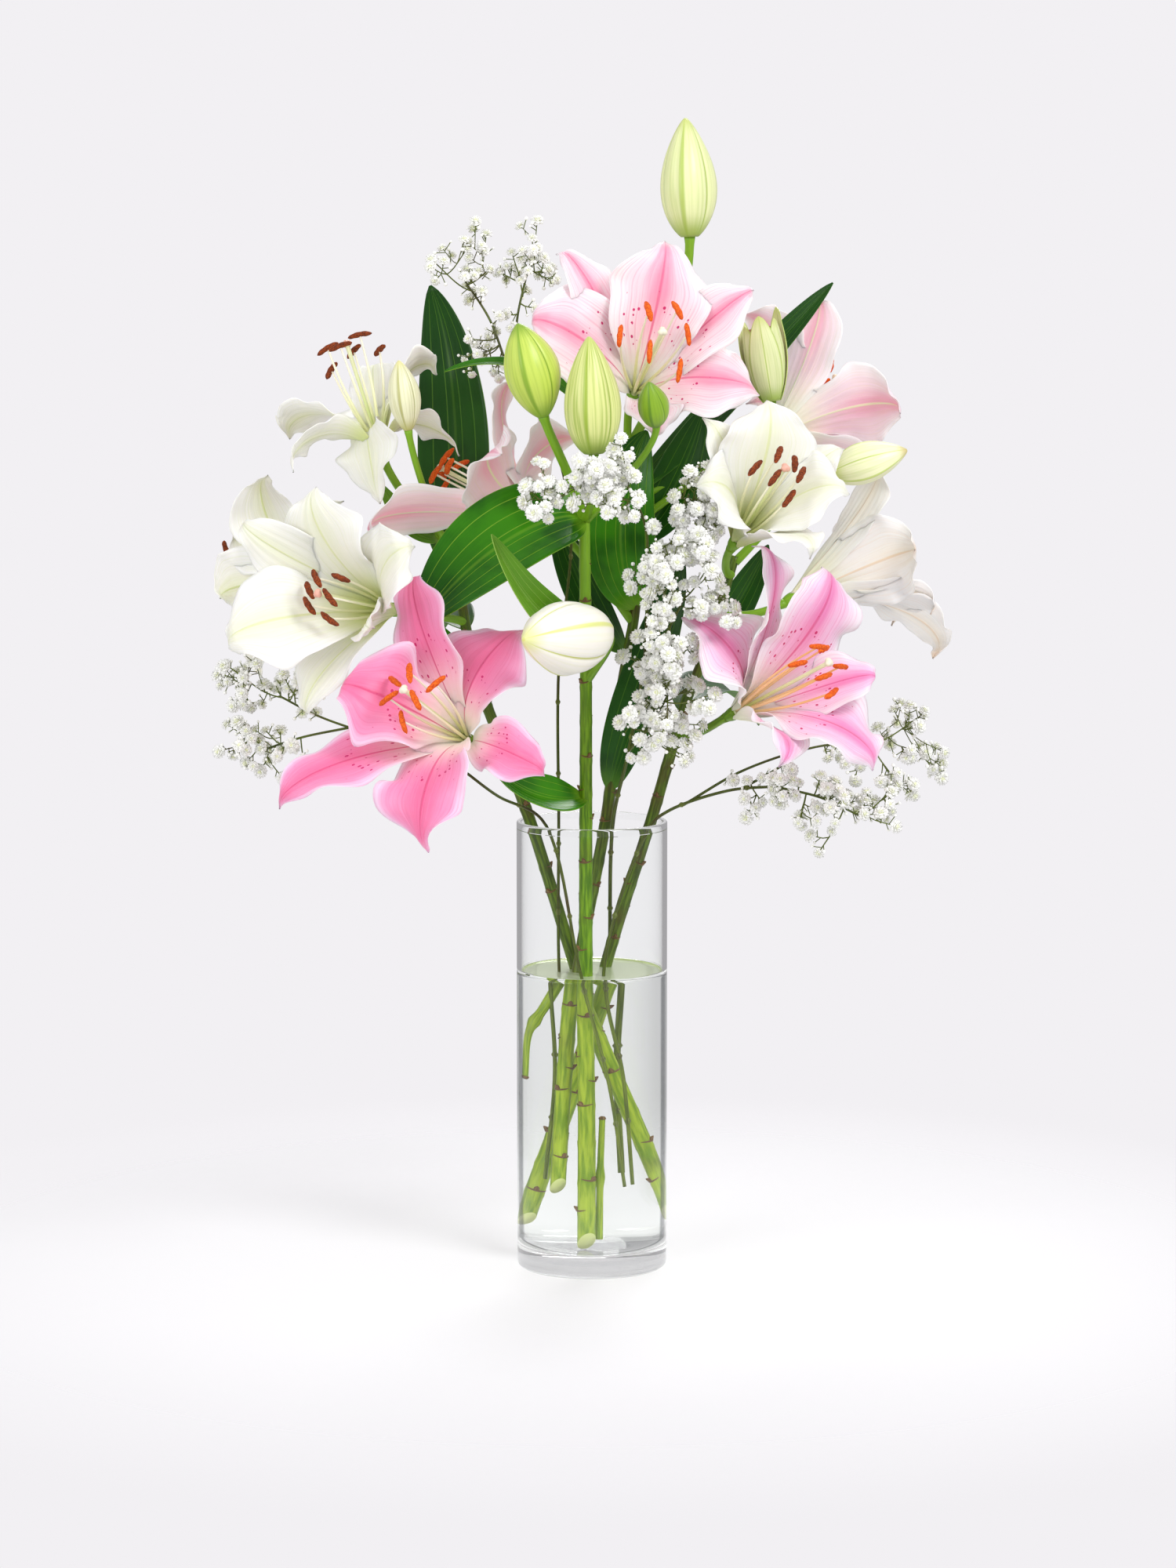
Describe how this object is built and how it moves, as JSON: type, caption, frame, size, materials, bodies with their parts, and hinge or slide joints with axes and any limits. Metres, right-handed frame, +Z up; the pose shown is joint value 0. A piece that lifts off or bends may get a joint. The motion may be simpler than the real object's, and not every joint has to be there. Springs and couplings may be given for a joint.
{
  "type": "lilies in a vase",
  "caption": "White and pink lilies, open and in bud, with leaves and sprays of gypsophila, standing in water in a straight clear glass cylinder vase.",
  "frame": {"origin": "centre of the vase's flat underside", "axes": "+Z up along the vase; -Y towards the viewer of the picture; +X to the picture's right"},
  "size_m": [0.5032, 0.2941, 0.761],
  "materials": {
    "glass": "clear, smooth",
    "water": "clear water",
    "stems_and_leaves": "fresh leaf, waxy sheen",
    "white_petals": "satin petal",
    "pink_petals": "satin petal, paler edges",
    "peach_petals": "satin petal",
    "brown_stamens": "matt pollen",
    "orange_stamens": "matt pollen",
    "pale_buds": "satin petal",
    "fresh_buds": "satin petal",
    "cream_buds": "satin petal",
    "gypsophila": "matt petal"
  },
  "bodies": {
    "root": {"vase": "glass", "water": "water", "stem_front": "stems_and_leaves", "stem_left": "stems_and_leaves", "stem_right": "stems_and_leaves", "stem_back": "stems_and_leaves", "white_left_petals": "white_petals", "white_left_stamens": "brown_stamens", "white_back_petals": "white_petals", "white_back_stamens": "brown_stamens", "white_side_petals": "white_petals", "white_side_stamens": "brown_stamens", "pink_turned_petals": "pink_petals", "pink_turned_stamens": "orange_stamens", "pink_top_petals": "pink_petals", "pink_top_stamens": "orange_stamens", "pink_right_petals": "pink_petals", "pink_right_stamens": "orange_stamens", "white_right_petals": "white_petals", "white_right_stamens": "brown_stamens", "peach_right_petals": "peach_petals", "peach_right_stamens": "brown_stamens", "pink_low_right_petals": "pink_petals", "pink_low_right_stamens": "orange_stamens", "pink_low_left_petals": "pink_petals", "pink_low_left_stamens": "orange_stamens", "bud_tall": "pale_buds", "bud_fresh": "fresh_buds", "bud_ribbed": "pale_buds", "bud_small": "fresh_buds", "bud_slim": "cream_buds", "bud_opening": "pale_buds", "bud_side": "pale_buds", "bud_cream": "cream_buds", "gypsophila_top_left": "gypsophila", "gypsophila_left": "gypsophila", "gypsophila_middle": "gypsophila", "gypsophila_right": "gypsophila"}
  },
  "joints": []
}
